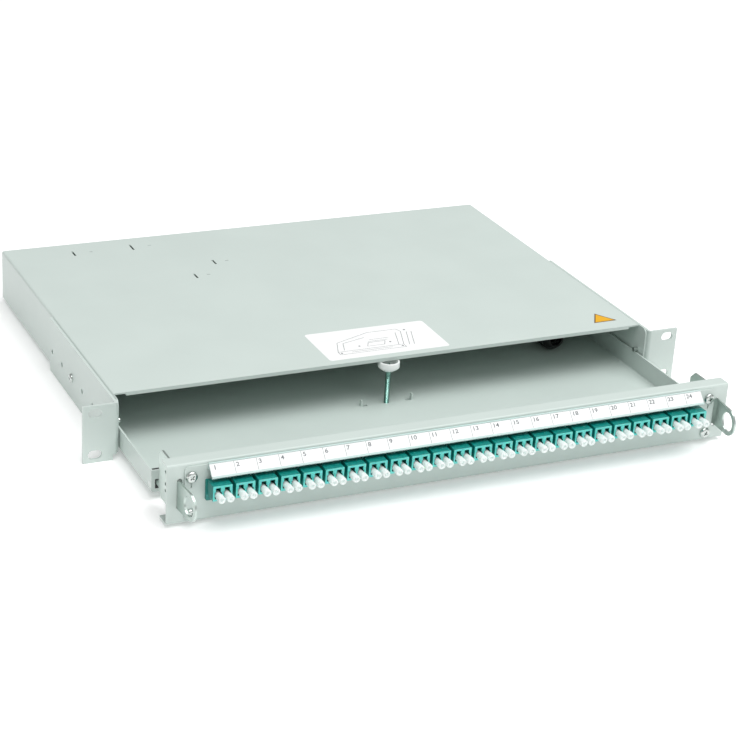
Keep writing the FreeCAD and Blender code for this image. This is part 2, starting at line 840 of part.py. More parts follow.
def hold_down_stud():
    """The threaded stud pressed into the tray floor."""
    return rod(post_radius, (post_x, post_y, tray_bottom), (0, 0, 1), post_top - tray_bottom)


def hold_down_knob():
    """The cup-shaped knob, open at the top, that runs on the stud's thread."""
    bore = post_radius + thread_clearance
    rim = knob_radius - knob_wall
    cup = knob_height - knob_recess
    profile = [(bore, 0), (knob_base_radius, 0), (knob_radius, knob_taper),
               (knob_radius, knob_height), (rim, knob_height), (rim, cup), (bore, cup)]
    return turned(profile, (post_x, post_y, knob_bottom), (0, 0, 1), (1, 0, 0))


def gland_body():
    """The gland's threaded body: a spigot in front of its flange, a tail through the tab."""
    start = gland_y - gland_flange - gland_spigot
    tail = gland_y + sheet + gland_tail
    spigot = gland_thread_radius - spigot_step
    profile = [(gland_bore_radius, 0), (spigot, 0), (spigot, gland_spigot),
               (gland_flange_radius, gland_spigot),
               (gland_flange_radius, gland_spigot + gland_flange),
               (gland_thread_radius, gland_spigot + gland_flange),
               (gland_thread_radius, tail - start), (gland_bore_radius, tail - start)]
    return turned(profile, (gland_x, start, gland_z), (0, 1, 0))


def gland_locknut():
    """The hexagonal nut behind the tab."""
    start = gland_y + sheet
    nut = bar_y(6, gland_locknut_radius, (gland_x, start, gland_z), gland_locknut_length)
    return nut.cut(rod(gland_thread_radius, (gland_x, start - over, gland_z), (0, 1, 0),
                       gland_locknut_length + 2 * over))


def gland_nut():
    """The clamping nut over the spigot, narrowing to the cable's mouth."""
    bore = gland_thread_radius - spigot_step + thread_clearance
    reach = gland_spigot - gland_nut_gap + seal_length + thread_clearance
    shoulder = gland_nut_length - reach
    outline = [(gland_mouth_radius, 0), (gland_nut_tip_radius, 0),
               (gland_nut_radius, gland_nut_taper), (gland_nut_radius, gland_nut_length),
               (bore, gland_nut_length), (bore, shoulder), (gland_mouth_radius, shoulder)]
    front = gland_y - gland_flange - gland_nut_gap - gland_nut_length
    return turned(outline, (gland_x, front, gland_z), (0, 1, 0))


def gland_seal():
    """The rubber ring that the nut squeezes on to the cable."""
    start = gland_y - gland_flange - gland_spigot - seal_length
    radius = gland_thread_radius - spigot_step - thread_clearance
    return tube(radius, seal_bore_radius, (gland_x, start, gland_z), (0, 1, 0), seal_length)


def save(name, solids):
    """Write one node: a single solid, or a group of separate ones."""
    shape = solids[0] if len(solids) == 1 else Part.makeCompound(solids)
    shape.exportStep("parts/" + name + ".step")


def main():
    """Build every node of the panel."""
    os.makedirs("parts", exist_ok=True)
    right = bracket()
    save("bracket_right", [right])
    save("bracket_left", [mirrored(right)])
    screws = []
    for y in screw_places():
        screws.extend(both_sides(bracket_screw(y)))
    save("bracket_screws", screws)
    save("housing_cover", [housing_cover()])
    save("housing_base", [housing_base()])
    save("glide_strips", both_sides(glide_strip()))
    save("guide_studs", both_sides(guide_stud()))
    save("drawer_tray", [drawer_tray()])
    save("front_panel", [front_panel()])
    save("adapter_plate", [adapter_plate()])
    save("panel_screws", [panel_screw(x, z) for x, z in panel_screw_places()])
    for number, x in enumerate(adapter_places(), 1):
        save("adapter_%02d" % number, [adapter(x)])
    save("dust_caps_left", dust_caps(0, adapter_count // 2))
    save("dust_caps_right", dust_caps(adapter_count // 2, adapter_count))
    save("label_holder", [label_holder()])
    save("label_strip", [label_strip()])
    save("latch_right", [latch()])
    save("latch_left", [mirrored(latch())])
    save("latch_blocks", both_sides(latch_block()))
    save("latch_pins", both_sides(latch_pin()))
    save("side_screws", both_sides(side_screw()))
    save("latch_spring_right", [latch_spring()])
    save("latch_spring_left", [mirrored(latch_spring())])
    save("hold_down_stud", [hold_down_stud()])
    save("hold_down_knob", [hold_down_knob()])
    save("gland_body", [gland_body()])
    save("gland_locknut", [gland_locknut()])
    save("gland_nut", [gland_nut()])
    save("gland_seal", [gland_seal()])


main()
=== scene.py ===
import math

import bmesh
import bpy
from mathutils import Matrix, Vector


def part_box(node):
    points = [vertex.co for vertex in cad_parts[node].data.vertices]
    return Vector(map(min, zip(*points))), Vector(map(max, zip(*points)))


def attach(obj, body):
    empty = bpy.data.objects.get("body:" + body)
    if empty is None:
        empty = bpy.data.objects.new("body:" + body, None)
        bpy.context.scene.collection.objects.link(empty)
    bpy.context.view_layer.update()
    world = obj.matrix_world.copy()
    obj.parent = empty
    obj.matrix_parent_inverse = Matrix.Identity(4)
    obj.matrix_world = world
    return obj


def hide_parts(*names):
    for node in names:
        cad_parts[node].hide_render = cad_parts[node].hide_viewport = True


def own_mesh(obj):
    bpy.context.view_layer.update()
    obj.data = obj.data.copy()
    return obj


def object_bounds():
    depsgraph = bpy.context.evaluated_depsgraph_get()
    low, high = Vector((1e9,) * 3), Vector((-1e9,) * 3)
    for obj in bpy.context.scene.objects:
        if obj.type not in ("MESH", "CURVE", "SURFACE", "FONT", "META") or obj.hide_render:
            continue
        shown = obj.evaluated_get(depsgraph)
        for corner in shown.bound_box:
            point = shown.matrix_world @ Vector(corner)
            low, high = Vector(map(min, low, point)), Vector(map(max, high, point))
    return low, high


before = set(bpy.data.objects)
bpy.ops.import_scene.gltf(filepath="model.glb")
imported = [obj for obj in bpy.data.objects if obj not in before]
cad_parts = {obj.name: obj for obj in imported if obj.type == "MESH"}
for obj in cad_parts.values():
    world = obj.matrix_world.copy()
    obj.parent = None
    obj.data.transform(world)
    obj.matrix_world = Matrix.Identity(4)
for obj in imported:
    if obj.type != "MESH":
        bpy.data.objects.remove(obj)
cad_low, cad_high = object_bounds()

# Lengths below are millimetres. They turn to metres when a piece is finished.
MM = 0.001

# Directions
ACROSS = Vector((1, 0, 0))
BACK = Vector((0, 1, 0))
UP = Vector((0, 0, 1))


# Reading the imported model

def low(part):
    """Lowest corner of a CAD part in millimetres."""
    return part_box(part)[0] / MM


def high(part):
    """Highest corner of a CAD part in millimetres."""
    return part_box(part)[1] / MM


# Materials

# How many finer layers each pattern has, and the part of the noise that a change of shade takes
TINT_DETAIL = 4.0
GLOSS_DETAIL = 3.0
RELIEF_DETAIL = 2.0
TINT_RANGE = (0.35, 0.65)


def colour(code):
    """An sRGB hex colour as linear red, green, blue and alpha."""
    parts = [int(code[i:i + 2], 16) / 255 for i in (0, 2, 4)]
    linear = [p / 12.92 if p <= 0.04045 else ((p + 0.055) / 1.055) ** 2.4 for p in parts]
    return (*linear, 1.0)


def add(tree, kind, settings=None, links=None):
    """Add one shader node with its settings, and link its inputs."""
    made = tree.nodes.new(kind)
    for name, value in (settings or {}).items():
        made.inputs[name].default_value = value
    for name, source in (links or {}).items():
        tree.links.new(source, made.inputs[name])
    return made


def finish(name, shader, tint=None, gloss=None, relief=(), stretch=(1, 1, 1)):
    """A material on one Principled shader.

    tint is (first colour, second colour, patch size), gloss is (least roughness, most, patch
    size), and relief is rows of (grain size, height, strength), all sizes in millimetres.
    """
    material = bpy.data.materials.new(name)
    material.use_nodes = True
    tree = material.node_tree
    tree.nodes.clear()
    body = add(tree, "ShaderNodeBsdfPrincipled", shader)
    add(tree, "ShaderNodeOutputMaterial", links={"Surface": body.outputs["BSDF"]})
    place = add(tree, "ShaderNodeTexCoord").outputs["Object"]
    place = add(tree, "ShaderNodeMapping", {"Scale": stretch}, {"Vector": place}).outputs[0]
    if tint:
        patch = add(tree, "ShaderNodeTexNoise",
                    {"Scale": 1 / (tint[2] * MM), "Detail": TINT_DETAIL}, {"Vector": place})
        ramp = add(tree, "ShaderNodeValToRGB", links={"Fac": patch.outputs["Fac"]})
        for stop, share, shade in zip(ramp.color_ramp.elements, TINT_RANGE, tint):
            stop.position = share
            stop.color = colour(shade)
        tree.links.new(ramp.outputs["Color"], body.inputs["Base Color"])
    if gloss:
        patch = add(tree, "ShaderNodeTexNoise",
                    {"Scale": 1 / (gloss[2] * MM), "Detail": GLOSS_DETAIL}, {"Vector": place})
        spread = add(tree, "ShaderNodeMapRange", {"To Min": gloss[0], "To Max": gloss[1]},
                     {"Value": patch.outputs["Fac"]})
        tree.links.new(spread.outputs["Result"], body.inputs["Roughness"])
    normal = None
    for size, height, strength in relief:
        grain = add(tree, "ShaderNodeTexNoise",
                    {"Scale": 1 / (size * MM), "Detail": RELIEF_DETAIL}, {"Vector": place})
        links = {"Height": grain.outputs["Fac"]}
        if normal:
            links["Normal"] = normal
        normal = add(tree, "ShaderNodeBump", {"Distance": height * MM, "Strength": strength},
                     links).outputs["Normal"]
    if normal:
        tree.links.new(normal, body.inputs["Normal"])
    return material


# Polyester powder coat on folded steel: satin, with a fine orange-peel surface that softens
# every reflection and a slight drift of shade over a hand's width
POWDER_COAT = finish(
    "powder_coat_light_grey",
    {"IOR": 1.5, "Coat Weight": 0.12, "Coat Roughness": 0.25},
    tint=("C6D2CD", "C9D5D0", 60), gloss=(0.36, 0.46, 9),
    relief=((1.6, 0.03, 0.22), (0.5, 0.012, 0.25)))

# Bright zinc plate on turned screws: hard glints and a few duller patches
ZINC_BRIGHT = finish(
    "zinc_plate_bright", {"Metallic": 1.0},
    tint=("B9C1BE", "D4D9D6", 3), gloss=(0.16, 0.30, 2), relief=((0.4, 0.01, 0.2),))

# Zinc plate on stamped steel strip: satin, drawn out along the strip, with a green-grey cast
ZINC_STRIP = finish(
    "zinc_plate_stamped_strip", {"Metallic": 1.0},
    tint=("B4C2BC", "CAD5D0", 14), gloss=(0.26, 0.42, 5), relief=((0.8, 0.012, 0.3),),
    stretch=(1, 0.35, 1))

# Green passivated zinc on the threaded rod: a cold green metal with sharp glints
ZINC_GREEN = finish(
    "zinc_plate_green_passivated", {"Metallic": 1.0},
    tint=("86B8AD", "A6D0C6", 6), gloss=(0.18, 0.30, 3))

# PBT, injection moulded: deep aqua with a soft sheen from a fine spark-eroded mould
AQUA = finish(
    "pbt_aqua_moulded", {"IOR": 1.54, "Subsurface Weight": 0.06, "Subsurface Scale": 0.002},
    tint=("007B73", "02867E", 3), gloss=(0.30, 0.42, 2), relief=((0.35, 0.02, 0.3),))

# The same plastic at its thin front rim, tinted lighter: painted light that stands for the
# brightness the rim catches
AQUA_RIM_PAINTED_LIGHT = finish(
    "pbt_aqua_rim_painted_light", {"IOR": 1.54, "Subsurface Weight": 0.25, "Subsurface Scale": 0.002},
    tint=("56CCC3", "6AD6CE", 4), gloss=(0.32, 0.42, 2), relief=((0.35, 0.01, 0.2),))

# Soft polyethylene dust caps: milky, with light inside the wall
CAP_WHITE = finish(
    "polyethylene_milky_cap",
    {"IOR": 1.51, "Subsurface Weight": 0.7, "Subsurface Radius": (1.0, 1.0, 1.0),
     "Subsurface Scale": 0.003, "Transmission Weight": 0.1},
    tint=("E3EEEB", "EEF6F4", 4), gloss=(0.26, 0.36, 2), relief=((0.8, 0.01, 0.15),))

# Clear acrylic extrusion: takes a pale aqua cast from its thickness
HOLDER_CLEAR = finish(
    "acrylic_clear_extrusion", {"IOR": 1.49, "Transmission Weight": 0.25, "Subsurface Weight": 0.3,
                             "Subsurface Radius": (1.0, 1.0, 1.0), "Subsurface Scale": 0.002},
    tint=("D6F4EE", "E2F8F4", 20), gloss=(0.08, 0.14, 8), relief=((3.0, 0.01, 0.1),),
    stretch=(0.2, 1, 1))

# Coated paper card: white, flat, with a faint tooth
CARD = finish(
    "coated_card_white", {"IOR": 1.45},
    tint=("EEF0EF", "F4F5F5", 12), gloss=(0.50, 0.62, 3), relief=((0.3, 0.006, 0.2),))

# Printing ink on card: dark grey, slightly broken where the paper shows through
INK = finish("printing_ink_grey", {"IOR": 1.5}, tint=("63686B", "85898C", 0.4),
             gloss=(0.45, 0.6, 1))

# A thinner line of the same ink
INK_PALE = finish("printing_ink_pale", {"IOR": 1.5}, tint=("8F9596", "A6ABAC", 0.5),
                  gloss=(0.45, 0.6, 1))

# Vinyl film, printed amber: smooth with a soft gloss
AMBER = finish("vinyl_film_amber", {"IOR": 1.4},
               tint=("E2A600", "E8B000", 6), gloss=(0.28, 0.38, 4))

# The border of that film, printed dark brown
AMBER_EDGE = finish("vinyl_film_amber_edge", {"IOR": 1.5},
                    tint=("6B4404", "5C3A03", 3), gloss=(0.3, 0.4, 4))

# Glass-filled nylon, black, moulded: satin, with a fine grain
NYLON_BLACK = finish("nylon_black_moulded", {"IOR": 1.53}, tint=("111313", "1A1C1C", 4),
                     gloss=(0.24, 0.40, 2), relief=((0.5, 0.02, 0.3),))

# Nylon knob, natural white: a soft gloss and light just under the skin
NYLON_WHITE = finish(
    "nylon_white_moulded",
    {"IOR": 1.53, "Subsurface Weight": 0.2, "Subsurface Radius": (1.0, 1.0, 1.0),
     "Subsurface Scale": 0.002},
    tint=("F1F6F4", "F8FAF9", 6), gloss=(0.28, 0.38, 2), relief=((0.7, 0.01, 0.2),))

# Natural nylon tape that the tray slides on: waxy, off-white
NYLON_TAPE = finish("nylon_natural_tape", {"IOR": 1.53, "Subsurface Weight": 0.15,
                                           "Subsurface Scale": 0.002},
                    tint=("DEDED6", "EAEAE4", 10), gloss=(0.35, 0.5, 5))

# Nitrile rubber seal: black and dead flat
RUBBER = finish("nitrile_rubber_black", {"IOR": 1.52}, tint=("0D0D0D", "171717", 3),
                gloss=(0.6, 0.8, 1), relief=((0.4, 0.03, 0.4),))

# Drawn spring wire: bright along the draw
SPRING_WIRE = finish("spring_steel_drawn_wire", {"Metallic": 1.0},
                     tint=("A7ABAA", "C5C8C7", 1), gloss=(0.22, 0.36, 0.6))

# Light table: a matt white acrylic sheet with soft light under it
FLOOR = finish("studio_light_table", {"IOR": 1.4, "Specular IOR Level": 0.2,
                                      "Emission Color": (1.0, 1.0, 1.0, 1.0),
                                      "Emission Strength": 0.2},
               tint=("FAFAFA", "FDFDFD", 400), gloss=(0.7, 0.85, 100))


# Shapes

# Corners closer than this become one
WELD = 0.001
CORNER_STEPS = 4
BEVEL_SEGMENTS = 2
BEVEL_ANGLE = math.radians(40)


def ring_points(x, y, radius, count):
    """Points round a circle."""
    return [(x + radius * math.cos(2 * math.pi * i / count),
             y + radius * math.sin(2 * math.pi * i / count)) for i in range(count)]


def rounded_box(x0, x1, y0, y1, radius):
    """Points round a rectangle with round corners."""
    points = []
    corners = ((x1 - radius, y1 - radius, 0), (x0 + radius, y1 - radius, 1),
               (x0 + radius, y0 + radius, 2), (x1 - radius, y0 + radius, 3))
    for x, y, quarter in corners:
        for i in range(CORNER_STEPS + 1):
            angle = math.pi / 2 * (quarter + i / CORNER_STEPS)
            points.append((x + radius * math.cos(angle), y + radius * math.sin(angle)))
    return points


def rectangle(x0, x1, y0, y1):
    """The four corners of a rectangle."""
    return [(x0, y0), (x1, y0), (x1, y1), (x0, y1)]


def loop(shape, points, height=0.0):
    """A closed line of edges through flat points."""
    corners = [shape.verts.new((x, y, height)) for x, y in points]
    return [shape.edges.new((a, b)) for a, b in zip(corners, corners[1:] + corners[:1])]


def slab(outlines, thickness, front=None):
    """A flat plate on the XY plane, from 0 up to its thickness.

    The first outline is its edge and the others are holes. front is the material slot of its
    upper face, where that differs.
    """
    shape = bmesh.new()
    edges = []
    for points in outlines:
        edges.extend(loop(shape, points))
    bmesh.ops.triangle_fill(shape, use_beauty=True, edges=edges)
    raised = bmesh.ops.extrude_face_region(shape, geom=list(shape.faces), use_keep_orig=True)
    corners = [item for item in raised["geom"] if isinstance(item, bmesh.types.BMVert)]
    bmesh.ops.translate(shape, verts=corners, vec=(0, 0, thickness))
    if front is not None:
        for item in raised["geom"]:
            if isinstance(item, bmesh.types.BMFace):
                item.material_index = front
    bmesh.ops.recalc_face_normals(shape, faces=list(shape.faces))
    return shape


def block(x0, x1, y0, y1, z0, z1):
    """A box from its low and high corners."""
    shape = bmesh.new()
    middle = Vector((x0 + x1, y0 + y1, z0 + z1)) / 2
    size = Matrix.Diagonal((x1 - x0, y1 - y0, z1 - z0, 1))
    bmesh.ops.create_cube(shape, size=1, matrix=Matrix.Translation(middle) @ size)
    return shape


def turned(profile, steps):
    """A profile of (radius, height) points, turned about the Z axis."""
    shape = bmesh.new()
    corners = [shape.verts.new((radius, 0, height)) for radius, height in profile]
    edges = [shape.edges.new(pair) for pair in zip(corners, corners[1:])]
    bmesh.ops.spin(shape, geom=corners + edges, cent=(0, 0, 0), axis=UP, angle=2 * math.pi,
                   steps=steps, use_merge=True, use_duplicate=False)
    bmesh.ops.remove_doubles(shape, verts=list(shape.verts), dist=WELD)
    bmesh.ops.recalc_face_normals(shape, faces=list(shape.faces))
    return shape


def put(target, shape, matrix=None, skin=None):
    """Add a finished shape to a piece, moved by the matrix."""
    if matrix is not None:
        shape.transform(matrix)
    if skin is not None:
        for face in shape.faces:
            face.material_index = skin
    mesh = bpy.data.meshes.new("passing")
    shape.to_mesh(mesh)
    shape.free()
    target.from_mesh(mesh)
    bpy.data.meshes.remove(mesh)


def facing(axis, place):
    """A matrix that takes the Z axis to the axis, and the origin to the place."""
    turn = Vector(axis).to_track_quat("Z", "Y").to_matrix().to_4x4()
    return Matrix.Translation(Vector(place)) @ turn


def piece(name, shape, materials, body, replaces=(), crease=35, bevel=0.0):
    """Turn a shape into an object that rides on a body."""
    bmesh.ops.scale(shape, vec=(MM, MM, MM), verts=list(shape.verts))
    mesh = bpy.data.meshes.new(name)
    shape.to_mesh(mesh)
    shape.free()
    mesh.shade_smooth()
    mesh.set_sharp_from_angle(angle=math.radians(crease))
    for material in materials:
        mesh.materials.append(material)
    made = bpy.data.objects.new(name, mesh)
    bpy.context.scene.collection.objects.link(made)
    if bevel:
        soften(made, bevel)
    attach(made, body)
    if replaces:
        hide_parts(*replaces)
    return made


def soften(made, width):
    """Round the hard edges of an object a little."""
    edge = made.modifiers.new("edge", "BEVEL")
    edge.width = width * MM
    edge.segments = BEVEL_SEGMENTS
    edge.limit_method = "ANGLE"
    edge.angle_limit = BEVEL_ANGLE
    edge.harden_normals = True


def dress(parts, material):
    """Give CAD parts a finish."""
    for name in parts:
        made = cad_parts[name]
        made.data.materials.clear()
        made.data.materials.append(material)


# These pieces keep their CAD shape and get a finish

dress(("bracket_left", "bracket_right", "housing_cover", "housing_base", "drawer_tray",
       "front_panel", "adapter_plate"), POWDER_COAT)
dress(("latch_left", "latch_right"), ZINC_STRIP)
dress(("guide_studs", "latch_pins", "side_screws"), ZINC_BRIGHT)
dress(("latch_blocks", "gland_body", "gland_locknut"), NYLON_BLACK)
dress(("label_holder",), HOLDER_CLEAR)
dress(("glide_strips",), NYLON_TAPE)
dress(("gland_seal",), RUBBER)


# Adapters

ADAPTER_COUNT = 24
PORT_PITCH = 6.25
PORT_SIDE = 4.8
PORT_DEPTH = 10.0
PORT_DROP = 0.85
KEY_WIDTH = 3.4
KEY_RISE = 5.3
SHELL_WIDTH = 13.6
SHELL_HEIGHT = 9.8
SHELL_CORNER = 0.5
SHELL_EDGE = 0.18
# The front half stands this much higher, and ends this much further back, than the CAD part
NOSE_RISE = 1.1
NOSE_BACK = 1.5
# The groove where the two halves meet
SEAM_DEPTH = 0.05
FLANGE_DEPTH = 2.5
FLANGE_OVER = 0.4
FLANGE_CORNER = 0.6
# The grip mark over each port: half its width, its two ends behind the nose, and its height
GRIP_HALF = 1.7
GRIP_ENDS = (3.6, 5.0)
GRIP_HEIGHT = 0.25
# How far pieces of one moulding run into each other
LAP = 0.1


def port_outline(x, z):
    """A square port with the narrower slot over it, as one outline."""
    half = PORT_SIDE / 2
    key = KEY_WIDTH / 2
    return [(x - half, z - half), (x + half, z - half), (x + half, z + half),
            (x + key, z + half), (x + key, z + KEY_RISE), (x - key, z + KEY_RISE),
            (x - key, z + half), (x - half, z + half)]


def adapter_shell(number):
    """One duplex adapter in place of its CAD part."""
    part = "adapter_%02d" % number
    floor = low(part)
    roof = high(part)
    x = (floor.x + roof.x) / 2
    top = roof.z - FLANGE_OVER
    base = top - SHELL_HEIGHT
    port_z = top - SHELL_HEIGHT / 2 - PORT_DROP
    half = SHELL_WIDTH / 2
    side = PORT_SIDE / 2
    ports = [x - PORT_PITCH / 2, x + PORT_PITCH / 2]
    # Plates are drawn on XY, and this turn stands them up with their height along Z
    stand = Matrix.Rotation(math.pi / 2, 4, "X")
    shell = bmesh.new()
    nose_start = floor.y + NOSE_BACK
    nose_edge = rounded_box(x - half, x + half, base, top + NOSE_RISE, SHELL_CORNER)
    # The front face takes the rim finish, whose lighter tint is painted light
    front = slab([nose_edge] + [port_outline(p, port_z) for p in ports], PORT_DEPTH, 1)
    put(shell, front, Matrix.Translation((0, nose_start + PORT_DEPTH, 0)) @ stand)
    tail_edge = rounded_box(x - half, x + half, base, top, SHELL_CORNER)
    tail_ports = [rectangle(p - side, p + side, port_z - side, port_z + side) for p in ports]
    rear = slab([tail_edge] + tail_ports, PORT_DEPTH)
    put(shell, rear, Matrix.Translation((0, roof.y, 0)) @ stand)
    # The core between the halves is a little smaller, which leaves the seam as a shallow groove
    put(shell, block(x - half + SEAM_DEPTH, x + half - SEAM_DEPTH, nose_start + PORT_DEPTH - LAP,
                     roof.y - PORT_DEPTH + LAP, base + SEAM_DEPTH, top - SEAM_DEPTH))
    collar = slab([rounded_box(floor.x, roof.x, floor.z, roof.z, FLANGE_CORNER),
                   rectangle(x - half + LAP, x + half - LAP, base + LAP, top - LAP)],
                  FLANGE_DEPTH)
    put(shell, collar, Matrix.Translation((0, low("adapter_plate").y, 0)) @ stand)
    nose_top = top + NOSE_RISE
    for p in ports:
        put(shell, block(p - GRIP_HALF, p + GRIP_HALF, nose_start + GRIP_ENDS[0],
                         nose_start + GRIP_ENDS[1], nose_top - LAP, nose_top + GRIP_HEIGHT))
    return piece("adapter_shell_%02d" % number, shell, (AQUA, AQUA_RIM_PAINTED_LIGHT), "drawer",
                 (part,), bevel=SHELL_EDGE)


for number in range(1, ADAPTER_COUNT + 1):
    adapter_shell(number)


# Dust caps

CAP_HEAD = 2.6
CAP_PLUG = 2.2
CAP_HEAD_LENGTH = 5.0
CAP_STEPS = 20
# Radius and height of the dimple in the end of the head, from its middle outwards
CAP_DIMPLE = [(0, 1.1), (0.8, 1.05), (1.1, 0.6), (1.4, 0.15), (1.6, 0.0), (2.1, 0.0)]
# Roundings, as how far in and how far along: the head's end, its back, and the plug's tip
CAP_END_ROUND = (0.15, 0.12, 0.5)
CAP_BACK_ROUND = (0.2, 0.3)
CAP_TIP_ROUND = (0.4, 0.5)
CAP_FILLET = 0.1


def dust_cap():
    """One cap along Z, with the end of its head at 0 and its plug upwards."""
    whole = high("dust_caps_left").y - low("dust_caps_left").y
    end_in, end_start, end_stop = CAP_END_ROUND
    back_in, back_start = CAP_BACK_ROUND
    tip_in, tip_start = CAP_TIP_ROUND
    head = [(CAP_HEAD - end_in, end_start), (CAP_HEAD, end_stop),
            (CAP_HEAD, CAP_HEAD_LENGTH - back_start), (CAP_HEAD - back_in, CAP_HEAD_LENGTH)]
    plug = [(CAP_PLUG, CAP_HEAD_LENGTH + CAP_FILLET), (CAP_PLUG, whole - tip_start),
            (CAP_PLUG - tip_in, whole), (0, whole)]
    return turned(CAP_DIMPLE + head + plug, CAP_STEPS)


def cap_row(side, first, last):
    """The caps of a run of adapters as one piece."""
    part = "dust_caps_" + side
    row = bmesh.new()
    z = (low(part).z + high(part).z) / 2
    for number in range(first, last + 1):
        shell = "adapter_%02d" % number
        x = (low(shell).x + high(shell).x) / 2
        for port in (x - PORT_PITCH / 2, x + PORT_PITCH / 2):
            put(row, dust_cap(), facing(BACK, (port, low(part).y, z)))
    return piece("cap_row_" + side, row, (CAP_WHITE,), side + "_caps", (part,), crease=32)


cap_row("left", 1, ADAPTER_COUNT // 2)
cap_row("right", ADAPTER_COUNT // 2 + 1, ADAPTER_COUNT)


# Screws with a pan head and a cross recess

# Radius and height of the head's outline, as shares of the whole, from its flat end to its widest
HEAD_SHARES = ((0.62, 1.0), (0.80, 0.90), (0.94, 0.66), (1.0, 0.30))
SCREW_STEPS = 28
SCREW_TIP = 0.6
# The recess, as shares of the head: its depth, its reach, half its arm's width, and its taper
RECESS_DEPTH = 0.55
RECESS_REACH = 0.44
RECESS_ARM = 0.11
RECESS_TAPER = 0.72
RECESS_WELD = 0.002


def cross_outline(reach, arm):
    """The cross of a driver recess."""
    return [(reach, -arm), (reach, arm), (arm, arm), (arm, reach), (-arm, reach), (-arm, arm),
            (-reach, arm), (-reach, -arm), (-arm, -arm), (-arm, -reach), (arm, -reach),
            (arm, -arm)]


def pan_screw(radius, height, shank, length):
    """A screw along Z: underside of the head at 0, head below it, shank above."""
    head = [(across * radius, -along * height) for across, along in HEAD_SHARES]
    body = [(radius, 0), (shank, 0), (shank, length - SCREW_TIP), (shank - SCREW_TIP, length),
            (0, length)]
    screw = turned(head + body, SCREW_STEPS)
    recess = bmesh.new()
    rim = loop(recess, ring_points(0, 0, head[0][0], SCREW_STEPS), -height)
    mouth = loop(recess, cross_outline(RECESS_REACH * radius, RECESS_ARM * radius), -height)
    bmesh.ops.triangle_fill(recess, use_beauty=True, edges=rim + mouth)
    walls = bmesh.ops.extrude_edge_only(recess, edges=mouth)
    foot = [item for item in walls["geom"] if isinstance(item, bmesh.types.BMVert)]
    bmesh.ops.translate(recess, verts=foot, vec=(0, 0, RECESS_DEPTH * height))
    bmesh.ops.scale(recess, verts=foot, vec=(RECESS_TAPER, RECESS_TAPER, 1))
    floor = [item for item in walls["geom"] if isinstance(item, bmesh.types.BMEdge)]
    bmesh.ops.triangle_fill(recess, use_beauty=True, edges=floor)
    put(screw, recess)
    bmesh.ops.remove_doubles(screw, verts=list(screw.verts), dist=RECESS_WELD)
    bmesh.ops.recalc_face_normals(screw, faces=list(screw.faces))
    return screw


# Head radius, head height, shank radius and shank length
PANEL_SCREW = (4.1, 2.4, 2.0, 5.4)
BRACKET_SCREW = (3.4, 2.0, 2.1, 3.2)
# How far round each panel screw was left, in degrees
PANEL_SCREW_TURNS = (12, 47, 33, 70)

screws = bmesh.new()
screw_low = low("panel_screws")
screw_high = high("panel_screws")
places = [(x, z) for x in (screw_low.x + PANEL_SCREW[0], screw_high.x - PANEL_SCREW[0])
          for z in (screw_low.z + PANEL_SCREW[0], screw_high.z - PANEL_SCREW[0])]
for (x, z), degrees in zip(places, PANEL_SCREW_TURNS):
    turn = Matrix.Rotation(math.radians(degrees), 4, "Z")
    put(screws, pan_screw(*PANEL_SCREW), facing(BACK, (x, low("adapter_plate").y, z)) @ turn)
piece("panel_screw_set", screws, (ZINC_BRIGHT,), "drawer", ("panel_screws",), crease=30)

screws = bmesh.new()
screw_low = low("bracket_screws")
screw_high = high("bracket_screws")
middle = (screw_low + screw_high) / 2
for x, way in ((screw_low.x + BRACKET_SCREW[1], ACROSS),
               (screw_high.x - BRACKET_SCREW[1], -ACROSS)):
    put(screws, pan_screw(*BRACKET_SCREW), facing(way, (x, middle.y, middle.z)))
piece("bracket_screw_set", screws, (ZINC_BRIGHT,), "housing", ("bracket_screws",),
      crease=30)


# Latch springs

WIRE = 0.35
WIRE_SIDES = 8
SPRING_TURNS = 6
SPRING_STEPS = 18


def coil(radius, wire, length, turns):
    """A coil of wire about the Z axis, from 0 to its length."""
    shape = bmesh.new()
    section = bmesh.ops.create_circle(shape, radius=wire, segments=WIRE_SIDES)["verts"]
    stand = Matrix.Translation((radius - wire, 0, wire)) @ Matrix.Rotation(math.pi / 2, 4, "X")
    bmesh.ops.transform(shape, matrix=stand, verts=section)
    steps = turns * SPRING_STEPS
    rise = (length - 2 * wire) / steps
    bmesh.ops.spin(shape, geom=section + list(shape.edges), cent=(0, 0, 0), axis=UP,
                   dvec=(0, 0, rise), angle=2 * math.pi * turns, steps=steps,
                   use_duplicate=False)
    bmesh.ops.holes_fill(shape, edges=[e for e in shape.edges if e.is_boundary], sides=0)
    bmesh.ops.recalc_face_normals(shape, faces=list(shape.faces))
    return shape


for side, sign in (("left", -1), ("right", 1)):
    part = "latch_spring_" + side
    floor = low(part)
    roof = high(part)
    anchor = floor.x if sign > 0 else roof.x
    centre = (floor + roof) / 2
    wound = coil((roof.z - floor.z) / 2, WIRE, roof.x - floor.x, SPRING_TURNS)
    spring = bmesh.new()
    put(spring, wound, facing(sign * ACROSS, (anchor, centre.y, centre.z)))
    made = piece("spring_coil_" + side, spring, (SPRING_WIRE,), "drawer",
                 (part,), crease=60)
    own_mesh(made)


# Hold-down stud and knob

THREAD_PITCH = 0.7
THREAD_DEPTH = 0.3
THREAD_STEPS = 14
# The core inside the thread: how far it stands into the thread's root, and its rounded tip
CORE_LAP = 0.02
CORE_TIP = (0.5, 0.4)


